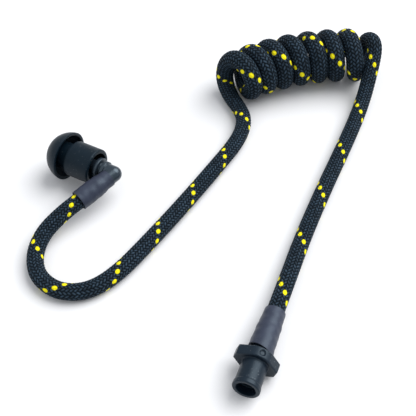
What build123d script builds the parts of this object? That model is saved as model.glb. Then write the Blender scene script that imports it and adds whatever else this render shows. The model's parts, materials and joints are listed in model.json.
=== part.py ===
from build123d import *
import math
import os

# Coiled acoustic earpiece tube: a clear hose inside a braided sleeve, with a mushroom ear tip on an
# elbow at one end and a winged twist-lock barrel at the other. Millimetres, +Z up, lying on z = 0.
# The origin is under the middle of the hard parts: ear tip, elbow, shrink tubes and connector.

os.makedirs("parts", exist_ok=True)

# ---- Driving dimensions --------------------------------------------------------------------------
CORD_D = 4.8            # outside of the braided sleeve
SLEEVE_WALL = 0.4
HOSE_BORE_D = 2.6       # sound passage in the inner hose
ARC_SHARE = 0.45        # share of the shorter run that each bend of the cord uses

COIL_OUTER_R = 8.1      # outside of the turns
COIL_AXIS_START = (36.5, 59.2)
COIL_BOW_R = 68.8       # the coil lies in a shallow bow of this radius
COIL_HEADING = 18.2     # degrees from +X at COIL_AXIS_START, turning back towards -Y
COIL_FROM = -4.0        # ends of the coil, measured along its bowed axis
COIL_TO = 38.5

TIP_HEAD_R = 7.35
TIP_STEM_R = 5.35
TIP_STEM_LENGTH = 9.2   # from the head's rim to the open end of the stem
TIP_MOUTH_R = 4.2
TIP_MOUTH_DEPTH = 4.4
TIP_BORE_R = 2.0
TIP_OUTLET_R = 1.5      # sound outlet at the crown
TIP_RIM_CENTRE = (-18.9, 40.2, 7.35)
TIP_HEADING = -46.0     # degrees, from the crown towards the elbow
TIP_PITCH = 3.6         # degrees up, from the crown towards the elbow

ELBOW_R = 2.35          # body of the elbow
ELBOW_ARM = 3.4         # from the corner to the end of the cord
ELBOW_BARB_TO = 8.4     # from the corner to the end of the hose barb
ELBOW_REACH = 15.0      # from the tip's rim plane to the elbow's corner
ELBOW_SPIGOT_R = 1.95   # runs in the tip's bore with 0.05 clearance
ELBOW_OUTER_COLLAR_R = 2.75
ELBOW_INNER_COLLAR_R = 3.2
PASSAGE_R = 0.9
BARB_R = HOSE_BORE_D / 2
BARB_NOSE = 0.8         # tapered end of each barb
BARB_NOSE_R = 1.0
EAR_EXIT_HEADING = 206.6
EAR_EXIT_PITCH = -8.0

LIP_R = 3.6             # lip round the connector's mouth
LIP_LENGTH = 1.3
BARREL_R = 3.4
SOCKET_MOUTH_R = 2.6    # the socket's mouth holds two lugs that leave its inner radius clear
SOCKET_MOUTH_DEPTH = 2.4
SOCKET_R = 2.2
SOCKET_DEPTH = 6.0
FLANGE_FROM = 7.1       # distances along the connector, from its mouth
FLANGE_TO = 10.2
FLANGE_R = 4.6
WING_SPAN = 11.8
WING_TIP_WIDTH = 2.4
WING_ROLL = 20.0        # degrees that the wings lean when the part lies down
DIMPLE_R = 0.85
NECK_R = 2.5
NECK_TO = 14.4
CONNECTOR_BARB_TO = 19.4
CORD_SEAT = 14.6        # where the cord's end stops against the neck
CORD_STRAIGHT_TO = 33.0  # how far the cord keeps the connector's direction
MOUTH_CENTRE = (8.2, -45.8, 4.94)
CONNECTOR_HEADING = 54.5
CONNECTOR_PITCH = -1.95

EAR_SHRINK_FROM = 0.6   # along the elbow's second arm, from its corner
EAR_SHRINK_TO = 12.9
SHRINK_WALL = 0.45
RADIO_SHRINK_FROM = 13.2
RADIO_SHRINK_TO = 26.8
RADIO_SHRINK_END_R = 3.4

MATE_GAP = 0.3          # clearance between the coil and the leg that moves away from it

# ---- Derived places ------------------------------------------------------------------------------
CORD_R = CORD_D / 2
HOSE_R = CORD_R - SLEEVE_WALL
LYING = CORD_R          # height of the cord's centre where it lies flat


def direction(heading, pitch):
    """Unit vector from a heading in the floor plane and an angle up from it, both in degrees."""
    h = math.radians(heading)
    p = math.radians(pitch)
    return Vector(math.cos(h) * math.cos(p), math.sin(h) * math.cos(p), math.sin(p))


TIP_AXIS = direction(TIP_HEADING, TIP_PITCH)
EAR_EXIT = direction(EAR_EXIT_HEADING, EAR_EXIT_PITCH)
CONNECTOR_AXIS = direction(CONNECTOR_HEADING, CONNECTOR_PITCH)
ELBOW_CORNER = Vector(*TIP_RIM_CENTRE) + TIP_AXIS * ELBOW_REACH
EAR_CORD_START = ELBOW_CORNER + EAR_EXIT * ELBOW_ARM
RADIO_CORD_END = Vector(*MOUTH_CENTRE) + CONNECTOR_AXIS * CORD_SEAT

# The cord from the elbow to the coil: it falls to the floor, turns back in a tight hook and runs
# straight to the coil, which it enters from the front along the floor.
EAR_LEG_ROUTE = [
    EAR_CORD_START,
    Vector(-18.7, 24.1, 6.8),
    Vector(-25.9, 20.8, 5.2),
    Vector(-32.1, 16.5, 3.6),
    Vector(-35.7, 10.0, 2.6),
    Vector(-35.6, 2.4, LYING),
    Vector(-30.7, -3.8, LYING),
    Vector(-22.9, -5.4, LYING),
    Vector(-14.5, -1.6, LYING),
    Vector(-4.3, 6.4, LYING),
    Vector(9.6, 18.1, LYING),
    Vector(23.0, 30.1, LYING),
    Vector(31.7, 39.1, LYING),
    Vector(36.4, 47.0, LYING),
    Vector(36.7, 53.8, LYING),
]

# The cord from the coil to the connector: over the top of the last turn, down its front to the
# floor, and along it.
RADIO_LEG_ROUTE = [
    Vector(74.8, 62.1, 11.0),
    Vector(78.5, 61.2, 11.5),
    Vector(81.8, 58.2, 11.9),
    Vector(83.0, 53.9, 10.8),
    Vector(81.3, 50.0, 7.9),
    Vector(76.6, 45.6, 4.2),
    Vector(70.7, 38.5, LYING),
    Vector(61.5, 26.6, LYING),
    Vector(50.0, 12.2, LYING),
    Vector(38.4, -3.0, LYING),
    Vector(*MOUTH_CENTRE) + CONNECTOR_AXIS * CORD_STRAIGHT_TO,
    RADIO_CORD_END,
]


def cord_path(name, route):
    """Straight runs joined by tangent arcs, each as large as its two runs allow."""
    runs = [b - a for a, b in zip(route, route[1:])]
    radii = []
    for before, after in zip(runs, runs[1:]):
        turn = math.radians(before.get_angle(after))
        shorter = min(before.length, after.length)
        radii.append(ARC_SHARE * shorter / math.tan(turn / 2))
    path = FilletPolyline(*route, radius=radii)
    print(name, "length", round(path.length, 1), "radii", [round(r, 1) for r in radii])
    return path


def tube_along(path, outer_r, inner_r):
    """Hollow round tube swept along a path."""
    start = Plane(origin=path @ 0, z_dir=path % 0)
    section = start * (Circle(outer_r) - Circle(inner_r))
    return sweep(section, path=path)


def turned(profile, origin, axis):
    """Solid of revolution: a closed (radius, distance) outline spun and stood along an axis."""
    face = make_face(Polyline(*[(r, 0, t) for r, t in profile], close=True))
    spun = revolve(face, Axis.Z, 360)
    return Plane(origin=origin, z_dir=axis) * spun


def axis_arc(start, end):
    """The coil's bowed axis between two distances along it, at the height of the resting coil."""
    heading = math.radians(COIL_HEADING)

    def at(s):
        bend = heading - s / COIL_BOW_R
        x = COIL_AXIS_START[0] + COIL_BOW_R * (math.sin(heading) - math.sin(bend))
        y = COIL_AXIS_START[1] + COIL_BOW_R * (math.cos(bend) - math.cos(heading))
        return Vector(x, y, COIL_OUTER_R)

    return ThreePointArc(at(start), at((start + end) / 2), at(end))


def coil_envelope(outer_r, start, end):
    """Closed solid of the coil's outer shape: a round bar along the bowed axis."""
    path = axis_arc(start, end)
    return sweep(Plane(origin=path @ 0, z_dir=path % 0) * Circle(outer_r), path=path)


def ear_tip():
    """Soft mushroom: a thin domed skirt over a thick stem, bored through for the elbow's spigot."""
    skirt = 0.85
    edge = 0.35
    root = 4.6          # the skirt joins the stem this far in front of the rim
    shoulder = 0.9
    bore_from = -2.0
    dome = Plane.XZ * Circle(TIP_HEAD_R)
    keep = Plane.XZ * Pos(TIP_HEAD_R / 2, -TIP_HEAD_R / 2) * Rectangle(TIP_HEAD_R, TIP_HEAD_R)
    head = revolve(dome & keep, Axis.Z, 360)
    hollow = Circle(TIP_HEAD_R - skirt) & Pos(TIP_HEAD_R / 2, -TIP_HEAD_R / 2) * Rectangle(
        TIP_HEAD_R, TIP_HEAD_R
    )
    hollow -= Pos(TIP_STEM_R / 2, 0) * Rectangle(TIP_STEM_R, 4 * TIP_HEAD_R)
    hollow -= Pos(0, -TIP_HEAD_R - root) * Rectangle(4 * TIP_HEAD_R, 2 * TIP_HEAD_R)
    head -= revolve(Plane.XZ * hollow, Axis.Z, 360)
    stem = Pos(0, 0, -root) * Cylinder(
        TIP_STEM_R, TIP_STEM_LENGTH + root, align=(Align.CENTER, Align.CENTER, Align.MIN)
    )
    stem = fillet(stem.edges().filter_by(GeomType.CIRCLE).sort_by(Axis.Z)[-1], shoulder)
    tip = head + stem
    mouth = Pos(0, 0, TIP_STEM_LENGTH - TIP_MOUTH_DEPTH) * Cylinder(
        TIP_MOUTH_R, 2 * TIP_MOUTH_DEPTH, align=(Align.CENTER, Align.CENTER, Align.MIN)
    )
    bore = Pos(0, 0, bore_from) * Cylinder(
        TIP_BORE_R, TIP_STEM_LENGTH, align=(Align.CENTER, Align.CENTER, Align.MIN)
    )
    tip = tip - mouth - bore - Cylinder(TIP_OUTLET_R, 4 * TIP_HEAD_R)
    rim = tip.edges().filter_by(GeomType.CIRCLE).filter_by(lambda e: e.radius > TIP_HEAD_R - 0.01)
    tip = chamfer(rim, edge)
    return Plane(origin=TIP_RIM_CENTRE, z_dir=TIP_AXIS) * tip


def elbow():
    """Two-armed fitting: a spigot with collars for the ear tip, and a barb for the hose."""
    tip_end = 0.5 - ELBOW_REACH
    lead = 1.1
    inner = -5.4        # the two collars start here, measured from the corner
    outer = -3.5
    collar = 1.1
    edge = 0.1
    inward = turned(
        [
            (0, tip_end),
            (1.6, tip_end),
            (ELBOW_SPIGOT_R, tip_end + lead),
            (ELBOW_SPIGOT_R, inner - edge),
            (ELBOW_INNER_COLLAR_R, inner),
            (ELBOW_INNER_COLLAR_R, inner + collar),
            (ELBOW_SPIGOT_R, inner + collar + edge),
            (ELBOW_SPIGOT_R, outer - edge),
            (ELBOW_OUTER_COLLAR_R, outer),
            (ELBOW_OUTER_COLLAR_R, outer + collar),
            (ELBOW_R, outer + collar + edge),
            (ELBOW_R, 0),
            (0, 0),
        ],
        ELBOW_CORNER,
        TIP_AXIS,
    )
    outward = turned(
        [
            (0, 0),
            (ELBOW_R, 0),
            (ELBOW_R, ELBOW_ARM),
            (BARB_R, ELBOW_ARM),
            (BARB_R, ELBOW_BARB_TO - BARB_NOSE),
            (BARB_NOSE_R, ELBOW_BARB_TO),
            (0, ELBOW_BARB_TO),
        ],
        ELBOW_CORNER,
        EAR_EXIT,
    )
    corner = Pos(ELBOW_CORNER) * Sphere(ELBOW_R)
    body = inward + outward + corner
    body -= Plane(origin=ELBOW_CORNER, z_dir=-TIP_AXIS) * Cylinder(
        PASSAGE_R, 2 * ELBOW_REACH, align=(Align.CENTER, Align.CENTER, Align.MIN)
    )
    body -= Plane(origin=ELBOW_CORNER, z_dir=EAR_EXIT) * Cylinder(
        PASSAGE_R, ELBOW_REACH, align=(Align.CENTER, Align.CENTER, Align.MIN)
    )
    return body - Pos(ELBOW_CORNER) * Sphere(PASSAGE_R)


def ear_heat_shrink(fitting):
    """Shrunk tube over the elbow's second arm and the end of the sleeve, stepped where they meet."""
    step = 0.6          # half the length of the slope where the sleeve starts
    tube = turned(
        [
            (ELBOW_R, EAR_SHRINK_FROM),
            (ELBOW_R + SHRINK_WALL, EAR_SHRINK_FROM),
            (ELBOW_R + SHRINK_WALL, ELBOW_ARM - step),
            (CORD_R + SHRINK_WALL, ELBOW_ARM + step),
            (CORD_R + SHRINK_WALL, EAR_SHRINK_TO),
            (CORD_R, EAR_SHRINK_TO),
            (CORD_R, ELBOW_ARM),
            (ELBOW_R, ELBOW_ARM),
        ],
        ELBOW_CORNER,
        EAR_EXIT,
    )
    trimmed = tube - fitting
    return trimmed.solids().sort_by(SortBy.VOLUME)[-1]


def radio_heat_shrink():
    """Shrunk tube that flares from the sleeve to a loose open end behind the flange."""
    wide_r = RADIO_SHRINK_END_R - 0.1
    wide_to = CORD_SEAT + 3.0
    tight_from = RADIO_SHRINK_TO - 3.0
    return turned(
        [
            (RADIO_SHRINK_END_R - SHRINK_WALL, RADIO_SHRINK_FROM),
            (RADIO_SHRINK_END_R, RADIO_SHRINK_FROM),
            (wide_r, wide_to),
            (CORD_R + SHRINK_WALL, tight_from),
            (CORD_R + SHRINK_WALL, RADIO_SHRINK_TO),
            (CORD_R, RADIO_SHRINK_TO),
            (CORD_R, tight_from),
            (wide_r - SHRINK_WALL, wide_to),
        ],
        MOUTH_CENTRE,
        CONNECTOR_AXIS,
    )


def flange_outline():
    """Round flange with two opposite blunt wings whose flanks run tangent to the round."""
    half_span = WING_SPAN / 2
    half_tip = WING_TIP_WIDTH / 2
    reach = math.hypot(half_span, half_tip)
    swing = math.acos(FLANGE_R / reach) + math.atan2(half_tip, half_span)
    touch = (FLANGE_R * math.cos(swing), FLANGE_R * math.sin(swing))
    outline = Circle(FLANGE_R)
    wings = make_face(
        Polyline(
            (half_span, half_tip),
            touch,
            (-touch[0], touch[1]),
            (-half_span, half_tip),
            (-half_span, -half_tip),
            (-touch[0], -touch[1]),
            (touch[0], -touch[1]),
            (half_span, -half_tip),
            close=True,
        )
    )
    return outline + wings


def connector_body():
    """One moulding: lipped barrel with a lugged socket, winged flange, neck and hose barb."""
    lip_edge = 0.3
    lip_slope = 0.15
    overlap = 0.5       # how far barrel and neck run into the flange
    dimple_depth = 0.4
    lug_r = SOCKET_MOUTH_R - SOCKET_R
    lug_depth = 1.6     # from the mouth to the middle of the two lugs in the socket
    lug_length = 1.2
    lug_seat = 0.2
    round_body = revolve(
        make_face(
            Polyline(
                (0, 0, 0),
                (LIP_R - lip_edge, 0, 0),
                (LIP_R, 0, lip_edge),
                (LIP_R, 0, LIP_LENGTH),
                (BARREL_R, 0, LIP_LENGTH + lip_slope),
                (BARREL_R, 0, FLANGE_FROM + overlap),
                (NECK_R, 0, FLANGE_TO - overlap),
                (NECK_R, 0, NECK_TO),
                (BARB_R, 0, NECK_TO),
                (BARB_R, 0, CONNECTOR_BARB_TO - BARB_NOSE),
                (BARB_NOSE_R, 0, CONNECTOR_BARB_TO),
                (0, 0, CONNECTOR_BARB_TO),
                close=True,
            )
        ),
        Axis.Z,
        360,
    )
    flange = Pos(0, 0, FLANGE_FROM) * extrude(flange_outline(), FLANGE_TO - FLANGE_FROM)
    body = round_body + flange
    body -= Cylinder(SOCKET_R, SOCKET_DEPTH, align=(Align.CENTER, Align.CENTER, Align.MIN))
    body -= Cylinder(SOCKET_MOUTH_R, 2 * SOCKET_MOUTH_DEPTH)
    body -= Cylinder(PASSAGE_R, 3 * CONNECTOR_BARB_TO)
    middle = (FLANGE_FROM + FLANGE_TO) / 2
    body -= Pos(0, FLANGE_R, middle) * Rot(90, 0, 0) * Cylinder(DIMPLE_R, 2 * dimple_depth)
    lug = Pos(SOCKET_MOUTH_R, 0, lug_depth) * Cylinder(lug_r, lug_length)
    lugs = (lug + Rot(0, 0, 180) * lug) & Cylinder(SOCKET_MOUTH_R + lug_seat, 2 * SOCKET_DEPTH)
    body += lugs
    lying = Plane(
        origin=MOUTH_CENTRE,
        x_dir=direction(CONNECTOR_HEADING + 90, 0),
        z_dir=CONNECTOR_AXIS,
    )
    return lying * Rot(0, 0, WING_ROLL) * body


def write(node, solid):
    """Give the solid its node's name and write it as a STEP file."""
    solid.label = node
    export_step(solid, f"parts/{node}.step")


coil = coil_envelope(COIL_OUTER_R, COIL_FROM, COIL_TO)
coil_with_gap = coil_envelope(COIL_OUTER_R + MATE_GAP, COIL_FROM, COIL_TO + MATE_GAP)
ear_path = cord_path("ear leg", EAR_LEG_ROUTE)
radio_path = cord_path("radio leg", RADIO_LEG_ROUTE)

write("ear_tip", ear_tip())
fitting = elbow()
write("elbow", fitting)
write("ear_heat_shrink", ear_heat_shrink(fitting))
write("ear_leg_sleeve", tube_along(ear_path, CORD_R, HOSE_R) - coil)
write("ear_leg_hose", tube_along(ear_path, HOSE_R, BARB_R) - coil)
write("coil", coil)
write("radio_leg_sleeve", tube_along(radio_path, CORD_R, HOSE_R) - coil_with_gap)
write("radio_leg_hose", tube_along(radio_path, HOSE_R, BARB_R) - coil_with_gap)
write("radio_heat_shrink", radio_heat_shrink())
write("connector_body", connector_body())
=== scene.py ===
import json
import math

import bmesh
import bpy
import numpy as np
from bpy.props import FloatProperty, FloatVectorProperty, IntProperty, PointerProperty
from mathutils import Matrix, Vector


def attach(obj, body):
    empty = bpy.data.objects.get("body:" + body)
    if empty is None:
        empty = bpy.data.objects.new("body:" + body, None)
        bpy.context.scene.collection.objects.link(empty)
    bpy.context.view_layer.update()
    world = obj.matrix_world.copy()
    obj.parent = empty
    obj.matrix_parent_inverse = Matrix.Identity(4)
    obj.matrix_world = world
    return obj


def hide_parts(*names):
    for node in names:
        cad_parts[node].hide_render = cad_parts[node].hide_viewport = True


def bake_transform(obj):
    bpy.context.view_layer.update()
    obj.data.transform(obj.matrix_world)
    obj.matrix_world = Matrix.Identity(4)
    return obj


bl_info = {
    "name": "Coiled Acoustic Tube",
    "version": (1, 0, 0),
    "blender": (4, 5, 0),
    "location": "3D View > Sidebar > Acoustic Tube",
    "description": "Builds a braid-covered acoustic earpiece tube around its packed frame",
    "category": "Object",
}

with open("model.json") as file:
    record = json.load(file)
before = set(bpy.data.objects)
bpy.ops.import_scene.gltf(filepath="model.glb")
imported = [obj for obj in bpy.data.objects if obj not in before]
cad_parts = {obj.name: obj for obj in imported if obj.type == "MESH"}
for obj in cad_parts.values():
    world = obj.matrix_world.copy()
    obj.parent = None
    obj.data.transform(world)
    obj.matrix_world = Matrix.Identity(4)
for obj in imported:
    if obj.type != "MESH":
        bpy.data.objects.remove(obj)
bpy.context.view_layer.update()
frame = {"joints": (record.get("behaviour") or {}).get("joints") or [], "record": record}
MM = 0.001
TAU = 2 * math.pi

# Places that come from the frame: the ear tip's axis and the connector's.
SWIVEL = next(j for j in frame["joints"] if j["name"] == "ear_tip_swivel")
SOCKET = next(m for m in frame["record"]["mounts"] if m["name"] == "connector_socket")
SOCKET_MIDDLE = 4.2 * MM  # from the mouth to the place the record gives for the socket
RIM_CENTRE = np.array(SWIVEL["pos_m"])
TIP_AXIS = np.array(SWIVEL["axis"]) / np.linalg.norm(SWIVEL["axis"])
CONNECTOR_AXIS = -np.array(SOCKET["axis"]) / np.linalg.norm(SOCKET["axis"])
MOUTH = np.array(SOCKET["pos_m"]) - SOCKET_MIDDLE * CONNECTOR_AXIS


def direction(heading, pitch):
    """Unit vector from a heading in the floor plane and an angle up from it, both in degrees."""
    h = math.radians(heading)
    p = math.radians(pitch)
    return np.array((math.cos(h) * math.cos(p), math.sin(h) * math.cos(p), math.sin(p)))


UP = np.array((0.0, 0.0, 1.0))
ELBOW_REACH = 15.0 * MM  # from the middle of the ear tip's rim to the elbow's corner
ELBOW_ARM = 3.4 * MM  # from the corner to the end of the arm, where the cord starts
CORD_SEAT = 14.6 * MM  # from the connector's mouth to the end of the cord
CORD_STRAIGHT_TO = 33.0 * MM  # from the mouth to the point that keeps the cord in line with its barb
EAR_EXIT = direction(206.6, -8.0)
ELBOW_CORNER = RIM_CENTRE + ELBOW_REACH * TIP_AXIS
CORD_START = ELBOW_CORNER + ELBOW_ARM * EAR_EXIT
CORD_END = MOUTH + CORD_SEAT * CONNECTOR_AXIS

# The cord's route, in metres, as the control points of one spline. It falls from the elbow to the
# floor, turns back in a hook, and runs to the coil's near side.
EAR_LEG_ROUTE = [
    (-0.0187, 0.0241, 0.0068),
    (-0.0259, 0.0208, 0.0052),
    (-0.0319, 0.0166, 0.0036),
    (-0.0353, 0.0102, 0.0026),
    (-0.0352, 0.0028, 0.0024),
    (-0.0304, -0.0034, 0.0024),
    (-0.0228, -0.0051, 0.0024),
    (-0.0145, -0.0016, 0.0024),
    (-0.0043, 0.0064, 0.0024),
    (0.0096, 0.0181, 0.0024),
    (0.0230, 0.0301, 0.0024),
    (0.0323, 0.0388, 0.0024),
    (0.0366, 0.0464, 0.0024),
    (0.0363, 0.0528, 0.0024),
    (0.0353, 0.0574, 0.0025),
]

# From the coil it comes over the top of the last turn, slants down its front and lies along the
# floor to the connector.
RADIO_LEG_ROUTE = [
    (0.0833, 0.0632, 0.0110),
    (0.0836, 0.0607, 0.0130),
    (0.0834, 0.0577, 0.0132),
    (0.0823, 0.0548, 0.0109),
    (0.0793, 0.0502, 0.0065),
    (0.0762, 0.0456, 0.0034),
    (0.0722, 0.0400, 0.0024),
    (0.0669, 0.0330, 0.0024),
    (0.0597, 0.0240, 0.0024),
    (0.0501, 0.0122, 0.0024),
    (0.0383, -0.0030, 0.0024),
]

# The coil's axis starts here on the floor plan and bends round to the right of its first heading.
COIL_START = (0.0365, 0.0592)
COIL_HEADING = math.radians(18.2)

# Where the top of each turn stands along the coil's axis, from one turn before the first to the last.
TURN_TOPS = np.array([-4.2, 2.5, 8.5, 14.6, 21.0, 27.4, 33.5, 39.7, 47.6]) * MM

TIP_SEAMS = (-62.0, 118.0)  # degrees round the ear tip's stem from its top, towards the near side

# ---- Settings ------------------------------------------------------------------------------------


class CordSettings(bpy.types.PropertyGroup):
    """Sizes and colours of the braided cord, its coil and the hose inside it."""

    diameter: FloatProperty(
        name="Diameter",
        description="Outside of the braid where the cord runs straight",
        default=4.8 * MM,
        subtype="DISTANCE",
    )
    coil_diameter: FloatProperty(
        name="Diameter in the coil",
        description="Outside of the braid in the coil, where it bunches on the bend",
        default=5.75 * MM,
        subtype="DISTANCE",
    )
    coil_radius: FloatProperty(
        name="Coil radius",
        description="From the coil's axis to the middle of the cord",
        default=5.7 * MM,
        subtype="DISTANCE",
    )
    coil_bow: FloatProperty(
        name="Coil bow",
        description="Radius of the shallow arc that the coil lies in",
        default=68.8 * MM,
        subtype="DISTANCE",
    )
    coil_lean: FloatProperty(
        name="Coil lean",
        description="How far the top of each turn stands ahead of its middle",
        default=0.35 * MM,
        subtype="DISTANCE",
    )
    hose_diameter: FloatProperty(
        name="Hose diameter",
        description="Outside of the clear hose under the braid",
        default=4.0 * MM,
        subtype="DISTANCE",
    )
    hose_bore: FloatProperty(
        name="Hose bore",
        description="Sound passage through the hose",
        default=2.6 * MM,
        subtype="DISTANCE",
    )
    carriers: IntProperty(
        name="Yarns each way",
        description="How many yarns of the braid run each way round the cord",
        default=16,
        min=4,
    )
    yarn_advance: FloatVectorProperty(
        name="Yarn spacing",
        description="Distance along the cord from one yarn to the next, in the ear leg, coil and radio leg",
        default=(1.076 * MM, 0.9375 * MM, 1.18 * MM),
        subtype="XYZ_LENGTH",
        size=3,
        precision=5,
    )
    yarn_start: FloatProperty(
        name="Pattern start",
        description="Yarns counted before the cord leaves the elbow, which moves the marked yarn",
        default=6.3,
    )
    yarn_relief: FloatProperty(
        name="Yarn relief",
        description="Height of a yarn's crown over the gaps beside it",
        default=0.2 * MM,
        subtype="DISTANCE",
    )
    yarn_colour: FloatVectorProperty(
        name="Yarn colour",
        description="Colour of the plain yarns",
        default=(0.0095, 0.0165, 0.0245),
        subtype="COLOR",
        size=3,
    )
    tracer_colour: FloatVectorProperty(
        name="Tracer colour",
        description="Colour of the marked yarn",
        default=(0.90, 0.80, 0.010),
        subtype="COLOR",
        size=3,
    )
    hose_colour: FloatVectorProperty(
        name="Hose colour",
        description="Colour of the hose's plastic",
        default=(0.55, 0.56, 0.55),
        subtype="COLOR",
        size=3,
    )


class TipSettings(bpy.types.PropertyGroup):
    """Sizes and colour of the mushroom ear tip."""

    head_radius: FloatProperty(
        name="Head radius",
        description="Outside of the domed skirt",
        default=7.35 * MM,
        subtype="DISTANCE",
    )
    skirt: FloatProperty(
        name="Skirt thickness",
        description="Wall of the domed skirt near its rim",
        default=0.85 * MM,
        subtype="DISTANCE",
    )
    stem_radius: FloatProperty(
        name="Stem radius",
        description="Outside of the stem behind the skirt",
        default=5.35 * MM,
        subtype="DISTANCE",
    )
    stem_length: FloatProperty(
        name="Stem length",
        description="From the skirt's rim to the open end of the stem",
        default=9.2 * MM,
        subtype="DISTANCE",
    )
    mouth_radius: FloatProperty(
        name="Mouth radius",
        description="Recess in the stem's open end",
        default=4.2 * MM,
        subtype="DISTANCE",
    )
    mouth_depth: FloatProperty(
        name="Mouth depth",
        description="Depth of the recess in the stem's open end",
        default=4.4 * MM,
        subtype="DISTANCE",
    )
    bore_radius: FloatProperty(
        name="Bore radius",
        description="Hole that the elbow's spigot sits in",
        default=2.0 * MM,
        subtype="DISTANCE",
    )
    outlet_radius: FloatProperty(
        name="Outlet radius",
        description="Sound outlet in the crown",
        default=1.5 * MM,
        subtype="DISTANCE",
    )
    colour: FloatVectorProperty(
        name="Silicone colour",
        description="Colour of the ear tip",
        default=(0.0012, 0.0060, 0.0115),
        subtype="COLOR",
        size=3,
    )


class ElbowSettings(bpy.types.PropertyGroup):
    """Sizes and colour of the elbow fitting."""

    radius: FloatProperty(
        name="Body radius",
        description="Outside of both arms",
        default=2.35 * MM,
        subtype="DISTANCE",
    )
    inner_collar: FloatProperty(
        name="Inner collar radius",
        description="Collar next to the ear tip",
        default=3.2 * MM,
        subtype="DISTANCE",
    )
    outer_collar: FloatProperty(
        name="Outer collar radius",
        description="Second, smaller collar",
        default=2.75 * MM,
        subtype="DISTANCE",
    )
    spigot: FloatProperty(
        name="Spigot radius",
        description="Peg that the ear tip turns on",
        default=1.95 * MM,
        subtype="DISTANCE",
    )
    colour: FloatVectorProperty(
        name="Elbow colour",
        description="Colour of the elbow's plastic",
        default=(0.011, 0.017, 0.025),
        subtype="COLOR",
        size=3,
    )


class ShrinkSettings(bpy.types.PropertyGroup):
    """Sizes and colour of the two heat-shrink tubes."""

    wall: FloatProperty(
        name="Wall",
        description="Thickness of the shrunk tube",
        default=0.45 * MM,
        subtype="DISTANCE",
    )
    waist: FloatProperty(
        name="Waist radius",
        description="Outside of the ear tube where it grips the elbow",
        default=2.6 * MM,
        subtype="DISTANCE",
    )
    open_radius: FloatProperty(
        name="Open end radius",
        description="Outside of the loose end behind the connector's flange",
        default=3.4 * MM,
        subtype="DISTANCE",
    )
    colour: FloatVectorProperty(
        name="Tube colour",
        description="Colour of the heat-shrink tube",
        default=(0.025, 0.029, 0.049),
        subtype="COLOR",
        size=3,
    )


class ConnectorSettings(bpy.types.PropertyGroup):
    """Sizes and colour of the twist-lock connector."""

    barrel: FloatProperty(
        name="Barrel radius",
        description="Outside of the barrel",
        default=3.4 * MM,
        subtype="DISTANCE",
    )
    lip: FloatProperty(
        name="Lip radius",
        description="Outside of the lip round the mouth",
        default=3.6 * MM,
        subtype="DISTANCE",
    )
    flange: FloatProperty(
        name="Flange radius",
        description="Round part of the flange between its wings",
        default=4.6 * MM,
        subtype="DISTANCE",
    )
    wing_span: FloatProperty(
        name="Wing span",
        description="Across the tips of the two wings",
        default=11.4 * MM,
        subtype="DISTANCE",
    )
    wing_roll: FloatProperty(
        name="Wing roll",
        description="How far the wings lean when the part lies down",
        default=math.radians(18),
        subtype="ANGLE",
    )
    colour: FloatVectorProperty(
        name="Connector colour",
        description="Colour of the connector's plastic",
        default=(0.0035, 0.0085, 0.0160),
        subtype="COLOR",
        size=3,
    )


class StageSettings(bpy.types.PropertyGroup):
    """Camera, lights and floor."""

    azimuth: FloatProperty(
        name="Camera azimuth",
        description="Direction the camera looks in, from +Y towards -X",
        default=math.radians(-15.6),
        subtype="ANGLE",
    )
    elevation: FloatProperty(
        name="Camera elevation",
        description="Height of the camera over the horizon",
        default=math.radians(49.5),
        subtype="ANGLE",
    )
    distance: FloatProperty(
        name="Camera distance",
        description="From the camera to the point it looks at",
        default=0.259,
        subtype="DISTANCE",
    )
    lens: FloatProperty(
        name="Lens",
        description="Focal length in millimetres on a 36 mm sensor",
        default=77.9,
    )
    aim: FloatVectorProperty(
        name="Aim",
        description="The point that the camera looks at",
        default=(0.0156, 0.0145, 0.0024),
        subtype="XYZ",
        size=3,
    )
    floor_colour: FloatVectorProperty(
        name="Floor colour",
        description="Colour of the paper that the part lies on",
        default=(0.735, 0.735, 0.745),
        subtype="COLOR",
        size=3,
    )
    key_strength: FloatProperty(
        name="Key light",
        description="Strength of the soft light from the right, above and a little beyond the part",
        default=3.45,
    )
    fill: FloatProperty(
        name="Surrounding light",
        description="Strength of the even light from all round",
        default=0.66,
    )


# ---- Surfaces ------------------------------------------------------------------------------------


def unit(v):
    """Each row of v at length one."""
    return v / np.linalg.norm(v, axis=-1, keepdims=True)


def smooth_step(x):
    """0 below 0, 1 above 1, and 3x^2 - 2x^3 between them."""
    t = np.clip(x, 0.0, 1.0)
    return t * t * (3 - 2 * t)


def bump(distance, radius):
    """1 at no distance, falling as a flat-topped bell to 0 at the radius."""
    return 1 - smooth_step((distance / radius - 0.55) / 0.45)


def outline(points, steps=5):
    """A profile's (radius, distance, rounding) corners as a line: each corner with a rounding becomes the
    curve (1-t)^2 a + 2t(1-t) corner + t^2 b between points a and b on its two sides."""
    corners = np.array([p[:2] for p in points], float)
    made = []
    for k, corner in enumerate(corners):
        r = points[k][2] if len(points[k]) > 2 else 0.0
        if r == 0.0:
            made.append(corner[None])
            continue
        before = corners[k - 1] - corner
        after = corners[(k + 1) % len(corners)] - corner
        a = corner + before * min(r / np.linalg.norm(before), 0.5)
        b = corner + after * min(r / np.linalg.norm(after), 0.5)
        t = np.linspace(0, 1, steps + 1)[:, None]
        made.append((1 - t) ** 2 * a + 2 * t * (1 - t) * corner + t**2 * b)
    return np.concatenate(made)


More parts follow.
